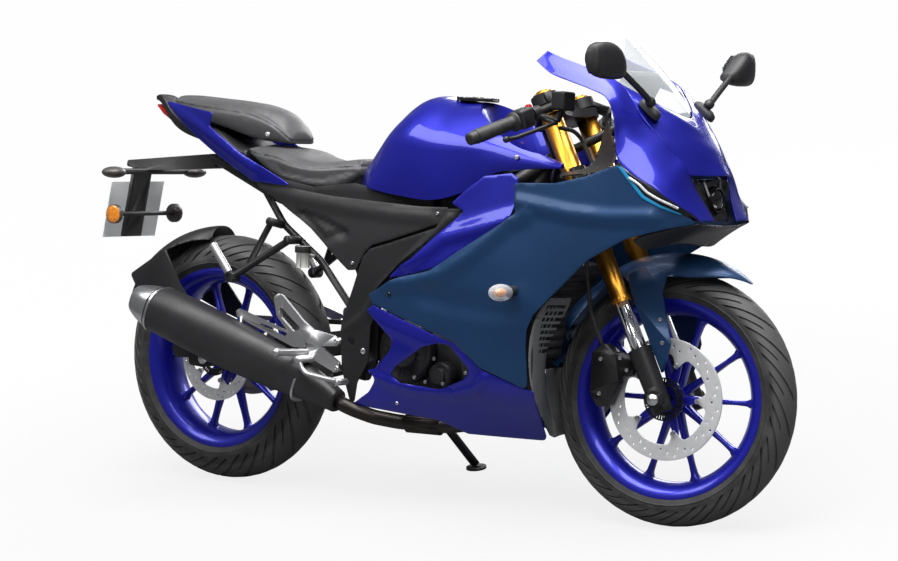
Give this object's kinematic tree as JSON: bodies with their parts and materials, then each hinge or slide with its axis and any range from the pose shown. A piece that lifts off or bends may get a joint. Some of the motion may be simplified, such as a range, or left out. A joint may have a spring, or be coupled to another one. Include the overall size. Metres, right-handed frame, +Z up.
{
  "type": "sport motorcycle",
  "caption": "Faired sport motorcycle parked on its side stand, with turning wheels, steering, folding stand and hinged fuel cap.",
  "frame": {"origin": "on the ground, below the middle of the bounding box", "axes": "+X forward, +Y to the machine's left, +Z up; the machine leans to +Y on its side stand"},
  "size_m": [1.9808, 0.7515, 1.1495],
  "materials": {
    "paint_blue": "metallic gloss",
    "paint_teal": "satin",
    "rim_blue": "gloss",
    "tyre": "matt",
    "black_plastic": "matt",
    "grey_plastic": "matt",
    "frame_paint": "satin",
    "engine_metal": "satin",
    "cover_metal": "satin",
    "fork_gold": "anodised",
    "chrome": "polished",
    "bright_steel": "brushed",
    "chain_steel": "oiled",
    "footrest_metal": "satin",
    "spring_paint": "gloss",
    "exhaust_steel": "heat-stained",
    "muffler_black": "matt",
    "seat_vinyl": "matt",
    "screen_clear": "clear",
    "lamp_clear": "gloss",
    "lamp_red": "gloss",
    "signal_grey": "smoked",
    "plate_white": "satin",
    "cup_white": "satin",
    "rubber": "matt"
  },
  "bodies": {
    "frame": {"main_frame": "frame_paint", "swingarm": "frame_paint", "rear_axle": "bright_steel", "rear_shock": "spring_paint", "engine": "engine_metal", "engine_covers": "cover_metal", "radiator": "black_plastic", "exhaust_pipe": "exhaust_steel", "muffler": "muffler_black", "muffler_tip": "bright_steel", "fuel_tank": "paint_blue", "rider_seat": "seat_vinyl", "pillion_seat": "seat_vinyl", "tail_panels": "paint_blue", "tail_unit": "black_plastic", "tail_lamp": "lamp_red", "plate_holder": "black_plastic", "number_plate": "plate_white", "rear_signals": "signal_grey", "rear_hugger": "black_plastic", "rear_caliper": "frame_paint", "chain": "chain_steel", "side_fairings": "paint_teal", "lower_fairings": "paint_blue", "tank_side_panels": "paint_blue", "side_covers": "black_plastic", "pivot_covers": "grey_plastic", "upper_cowl": "paint_blue", "windscreen": "screen_clear", "headlamp": "black_plastic", "inner_panels": "black_plastic", "radiator_shrouds": "grey_plastic", "front_signals": "lamp_clear", "mirrors": "black_plastic", "dash": "black_plastic", "footrests": "footrest_metal", "pillion_footrests": "footrest_metal", "rear_reservoir": "cup_white"},
    "steering": {"fork_lower_legs": "frame_paint", "fork_outer_tubes": "fork_gold", "fork_inner_tubes": "chrome", "front_axle": "bright_steel", "triple_clamps": "frame_paint", "handlebars": "frame_paint", "grips": "rubber", "hand_controls": "black_plastic", "hand_levers": "frame_paint", "front_fender": "paint_teal", "front_caliper": "frame_paint", "brake_hose": "rubber"},
    "front_wheel": {"front_rim": "rim_blue", "front_tyre": "tyre", "front_disc": "bright_steel"},
    "rear_wheel": {"rear_rim": "rim_blue", "rear_tyre": "tyre", "rear_disc": "bright_steel", "rear_sprocket": "chain_steel"},
    "side_stand": {"side_stand": "frame_paint"},
    "fuel_cap": {"fuel_cap": "cover_metal"}
  },
  "joints": [
    {"name": "steering_turn", "type": "hinge", "parent": "frame", "child": "steering", "pos_m": [0.37482, -0.02274, 0.84415], "axis": [-0.4293, 0.1722, 0.8866], "range_deg": [-40.5, 27.5]},
    {"name": "front_wheel_spin", "type": "hinge", "parent": "steering", "child": "front_wheel", "pos_m": [0.696, -0.12507, 0.28882], "axis": [-0.1025, 0.966, -0.2373], "continuous": true},
    {"name": "rear_wheel_spin", "type": "hinge", "parent": "frame", "child": "rear_wheel", "pos_m": [-0.6287, -0.12694, 0.30942], "axis": [-0.0003, 0.9816, -0.1908], "continuous": true},
    {"name": "side_stand_fold", "type": "hinge", "parent": "frame", "child": "side_stand", "pos_m": [-0.13831, 0.00064, 0.22091], "axis": [0.0002, 0.9877, 0.1564], "range_deg": [0, 95]},
    {"name": "fuel_cap_hinge", "type": "hinge", "parent": "frame", "child": "fuel_cap", "pos_m": [0.18067, -0.00023, 0.96024], "axis": [-0.0003, 0.9816, -0.1908], "range_deg": [0, 95]}
  ]
}
